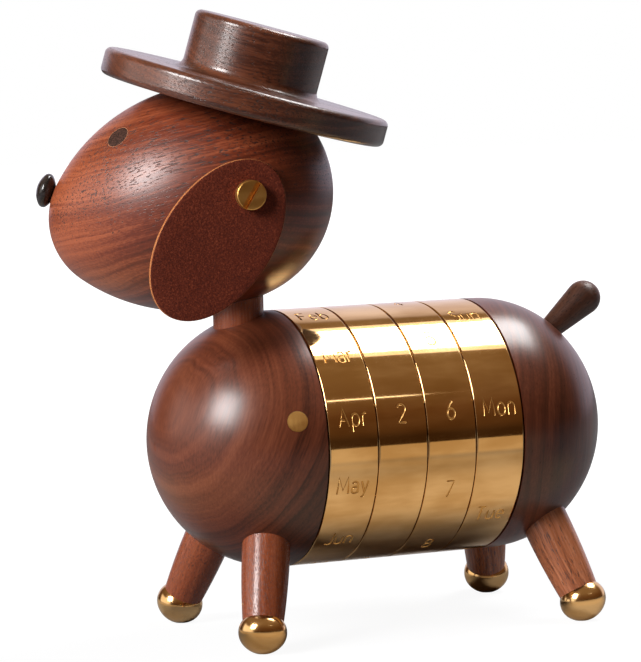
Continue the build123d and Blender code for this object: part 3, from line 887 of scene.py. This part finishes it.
def earMesh(name, pivot, outward):
    sideWay = outward.cross(Vector((0, 0, 1))).normalized()
    upWay = outward.cross(sideWay)
    frameRows = Matrix((sideWay, upWay, outward))
    flat = np.array([frameRows @ (corner.co - pivot) for corner in nodes[name].data.vertices])
    low, high = flat[:, 2].min(), flat[:, 2].max()
    outer = np.hypot(flat[:, 0], flat[:, 1]) > earForm["holeReach"]
    rim = flat[outer & (flat[:, 2] > (low + high) / 2)][:, :2]
    turns = np.arctan2(rim[:, 1], rim[:, 0])
    order = np.argsort(turns)
    order = order[np.append(np.diff(turns[order]) > earForm["sameTurn"], True)]
    rim, turns = rim[order], turns[order]
    hole = earForm["holeRadius"] * np.column_stack((np.cos(turns), np.sin(turns)))
    tangent = np.roll(rim, -1, 0) - np.roll(rim, 1, 0)
    outWay = np.column_stack((tangent[:, 1], -tangent[:, 0])) / np.linalg.norm(tangent, axis=1)[:, None]
    radius = earForm["round"]
    inset = rim - outWay * radius
    rows = [(hole, low)]
    for share in np.linspace(0, 1, earForm["faceSteps"] + 1)[1:]:
        rows.append((hole + (inset - hole) * share, low))
    for turn in np.linspace(-np.pi / 2, 0, earForm["roundSteps"] + 1)[1:]:
        rows.append((inset + outWay * radius * np.cos(turn), low + radius + radius * np.sin(turn)))
    for turn in np.linspace(0, np.pi / 2, earForm["roundSteps"] + 1):
        rows.append((inset + outWay * radius * np.cos(turn), high - radius + radius * np.sin(turn)))
    for share in np.linspace(1, 0, earForm["faceSteps"] + 1)[1:]:
        rows.append((hole + (inset - hole) * share, high))
    spots = [pivot + frameRows.transposed() @ Vector((*point, z)) for row, z in rows for point in row]
    rawEnd = earForm["faceSteps"] + earForm["roundSteps"] + 1 + earForm["roundSteps"] // 2
    edgeRows = range(earForm["faceSteps"], rawEnd)
    faces = loopedFaces(len(rows), len(rim))
    slots = [int(row in edgeRows) for row in range(len(rows)) for step in range(len(rim))]
    mesh = bpy.data.meshes.new(name + "Leather")
    mesh.from_pydata(spots, [], faces)
    mesh.materials.append(earHide)
    mesh.materials.append(earEdge)
    mesh.polygons.foreach_set("material_index", slots)
    mesh.polygons.foreach_set("use_smooth", [True] * len(faces))
    mesh.set_sharp_from_angle(angle=radians(earForm["sharpAngle"]))
    return mesh


for side, hand in sides.items():
    joint = joints[side + "_ear_swing"]
    mesh = earMesh(side + "_ear", Vector(joint["pos_m"]), hand * Vector(joint["axis"]))
    ear = bpy.data.objects.new(side + "EarLeather", mesh)
    scene.collection.objects.link(ear)
    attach(ear, "swinging_" + side + "_ear")
    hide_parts(side + "_ear")
print("ears cut")


# stage, lamps and camera
# a range is two ends in metres or square metres, then the two values between them where they aren't 0 and 1
floorLook = {
    "side": 2.0,
    "front": -0.40,
    "back": 3.0,
    "paint": ((0.21, 0.21, 0.22), (0.32, 0.32, 0.33)),
    "paintedLightPoolRange": (-0.1, -0.05),
    "glow": 1.25,
    "seenRange": (0.02, 0.06, 0.75, 1.0),
    # from here on: a warm glow painted on the floor for what mirrors it, a painted reflection, shaped by
    # painted shadows and a painted bright strip
    "paintedGlowTint": (0.94, 0.72, 0.42),
    "mirrored": 0.37,
    "paintedBodyShadowRange": (-0.042, -0.014),
    "paintedBodyShadowLeftRange": (-0.08, -0.055),
    "nearRange": (-0.11, -0.06, 0.62, 1),
    "reachRange": (0.03, 0.013),
    "paintedFootShadowRange": (0.00002, 0.0003, 0.7, 1),
    "farPaintedStrip": 1.05,
    "farRange": (-0.09, -0.13, 0, 0.35),
    "farthestRange": (-0.135, -0.165, 0, 0.8),
    "farSlant": 0.45,
    "farWidthRange": (0.0075, 0.003),
}


# white for the camera; for what mirrors it, a warm glow painted on the floor, a painted reflection, with
# painted shadows under the body and round each foot and a painted bright strip far in front
def floorMaterial():
    material, wire = newMaterial("paleFloor")
    path = wire.node("ShaderNodeLightPath")
    toCamera, toGloss = path.port("Is Camera Ray"), path.port("Is Glossy Ray")
    place = wire.node("ShaderNodeSeparateXYZ", sockets={0: wire.node("ShaderNodeTexCoord", out="Object")})
    depth = place.port(1)

    def between(value, key):
        return smoothRange(wire, value, *floorLook[key])

    # painted light: the matt floor is paler near and behind the object than at its front edge, a pool of
    # light painted on the floor
    paint = mixColour(wire, between(depth, "paintedLightPoolRange"), *floorLook["paint"])
    matt = wire.node("ShaderNodeBsdfDiffuse", sockets={"Color": paint})
    # painted reflection: the floor glows warm for what mirrors it
    tint = mixColour(wire, toCamera, floorLook["paintedGlowTint"], (1, 1, 1))
    glow = wire.node("ShaderNodeEmission", sockets={"Color": tint, "Strength": floorLook["glow"]})
    away = place * place + depth * depth
    # painted shadow: the glow is taken away under the body and to its right, where its shadow falls
    paintedBodyShadow = between(depth, "paintedBodyShadowRange") * between(place, "paintedBodyShadowLeftRange")
    mirrored = (1 - paintedBodyShadow) * between(depth, "nearRange") * between(away, "reachRange")
    # painted shadow: the glow dims round where each foot stands
    for name in legPlaces:
        footX, footY = centreOf(name + "_foot")[:2]
        mirrored = mirrored * between((place - footX) ** 2 + (depth - footY) ** 2, "paintedFootShadowRange")
    # painted reflection: a slanted bright strip glows far out in front
    aside = place + depth * floorLook["farSlant"]
    far = between(depth, "farRange") + between(depth, "farthestRange")
    mirrored = mirrored + far * between(aside * aside, "farWidthRange") * floorLook["farPaintedStrip"]
    share = toCamera * between(away, "seenRange") + toGloss * mirrored * floorLook["mirrored"]
    blend = wire.node("ShaderNodeMixShader", sockets={0: share, 1: matt, 2: glow})
    wire.node("ShaderNodeOutputMaterial", sockets={0: blend})
    return material


wide, near, far = floorLook["side"], floorLook["front"], floorLook["back"]
floorMesh = bpy.data.meshes.new("floor")
floorSpots = [(-wide, near, 0), (wide, near, 0), (wide, far, 0), (-wide, far, 0)]
floorMesh.from_pydata(floorSpots, [], [(0, 1, 2, 3)])
floor = addPiece("floor", floorMesh, floorMaterial())

# dim warm room in front, white backdrop behind, bright wall on the left, plain white for the camera
roomLook = {
    "toCamera": (-0.41, -0.91, 0.09),
    "rightward": (0.91, -0.41),
    "stops": [
        (0.0, (0.054, 0.028, 0.012)),
        (0.1, (0.1, 0.05, 0.02)),
        (0.35, (0.155, 0.08, 0.036)),
        (0.75, (0.29, 0.2, 0.12)),
    ],
    "backdrop": (0.92, 0.86, 1.0),
    "backdropSlant": 0.22,
    "backdropRange": (-0.55, -0.78),
    "backdropTop": (0.74, 0.69),
    "leftWall": (1.5, 1.42, 1.34),
    "wallFoot": (-0.06, 0.06),
    "wallTop": (0.5, 0.4),
    "wallRange": (-0.6, -0.84),
    "wallBack": (-0.45, -0.2),
    "fill": 0.14,
}


def roomWorld():
    world = bpy.data.worlds.new("studio")
    world.use_nodes = True
    world.node_tree.nodes.clear()
    wire = Wire(world.node_tree)
    path = wire.node("ShaderNodeLightPath")
    toEye, toGloss = path.port("Is Camera Ray"), path.port("Is Glossy Ray")
    outward = wire.node("ShaderNodeTexCoord", out="Generated")
    heading = wire.node("ShaderNodeSeparateXYZ", sockets={0: outward})
    ways = heading, heading.port(1), heading.port(2)
    rise = ways[2]

    def between(value, key):
        return smoothRange(wire, value, *roomLook[key])

    x, y, z = (way * share for way, share in zip(ways, roomLook["toCamera"]))
    toCamera = x + y + z
    x, y = (way * share for way, share in zip(ways, roomLook["rightward"]))
    rightward = x + y
    room = wire.node("ShaderNodeValToRGB", {"stops": roomLook["stops"]}, {0: rise})
    behind = between(toCamera - rightward * roomLook["backdropSlant"], "backdropRange")
    around = mixColour(wire, behind * between(rise, "backdropTop"), room, roomLook["backdrop"])
    level = between(rise, "wallFoot") * between(rise, "wallTop")
    beside = between(rightward, "wallRange") * between(toCamera, "wallBack")
    around = mixColour(wire, beside * level, around, roomLook["leftWall"])
    colour = mixColour(wire, toEye, around, (1, 1, 1))
    sharp = wire.maths("MAXIMUM", toEye, toGloss)
    strength = sharp + (1 - sharp) * roomLook["fill"]
    background = wire.node("ShaderNodeBackground", sockets={"Color": colour, "Strength": strength})
    wire.node("ShaderNodeOutputWorld", sockets={0: background})
    return world


scene.world = roomWorld()

# lamps face the middle of the object from "way", and their width runs along "across"
lampTarget = (0, 0, 0.07)
lamps = {
    "keySoftbox": {
        "way": (-0.84, -0.25, 0.46),
        "distance": 1.0,
        "across": (0.25, -0.84, 0),
        "size": (0.36, 0.4),
        "radiance": 26,
    },
    "topSoftbox": {
        "way": (0.52, 0.096, 0.849),
        "distance": 1.1,
        "across": (1, 0, 0),
        "size": (0.36, 0.54),
        "radiance": 16,
    },
    "topGlow": {
        "way": (0.52, 0.096, 0.849),
        "distance": 1.12,
        "across": (1, 0, 0),
        "size": (0.6, 0.74),
        "radiance": 1.5,
    },
    "stripLamp": {
        "way": (0.28, -0.76, 0.53),
        "distance": 1.2,
        "across": (1, 0, 0),
        "size": (0.38, 0.014),
        "radiance": 4,
    },
}
for name, look in lamps.items():
    width, height = look["size"]
    lamp = bpy.data.lights.new(name, "AREA")
    lamp.shape = "RECTANGLE"
    lamp.size = width
    lamp.size_y = height
    lamp.energy = look["radiance"] * width * height * np.pi
    holder = bpy.data.objects.new(name, lamp)
    scene.collection.objects.link(holder)
    ray = Vector(look["way"]).normalized()
    upWay = ray.cross(Vector(look["across"])).normalized()
    stand = Matrix((upWay.cross(ray), upWay, ray)).transposed().to_4x4()
    stand.translation = Vector(lampTarget) + ray * look["distance"]
    holder.matrix_world = stand

photoView = {
    "imageWidth": 641,
    "focalPixels": 3409,
    "sensor": 36,
    "distance": 0.8,
    "azimuth": -24.5,
    "elevation": 4.91,
    "roll": -1.36,
    "target": (-0.00621, 0, 0.07005),
}
azimuth, elevation, roll = (radians(photoView[key]) for key in ("azimuth", "elevation", "roll"))
back = Vector((sin(azimuth) * cos(elevation), -cos(azimuth) * cos(elevation), sin(elevation)))
right = Vector((0, 0, 1)).cross(back).normalized()
up = back.cross(right)
tiltedRight = right * cos(roll) + up * sin(roll)
tiltedUp = up * cos(roll) - right * sin(roll)
camera = bpy.data.objects.new("photoCamera", bpy.data.cameras.new("photoCamera"))
scene.collection.objects.link(camera)
camera.data.sensor_width = photoView["sensor"]
camera.data.sensor_fit = "HORIZONTAL"
camera.data.lens = photoView["focalPixels"] / photoView["imageWidth"] * photoView["sensor"]
stand = Matrix((tiltedRight, tiltedUp, back)).transposed().to_4x4()
stand.translation = Vector(photoView["target"]) + back * photoView["distance"]
camera.matrix_world = stand
scene.camera = camera
print("stage set")
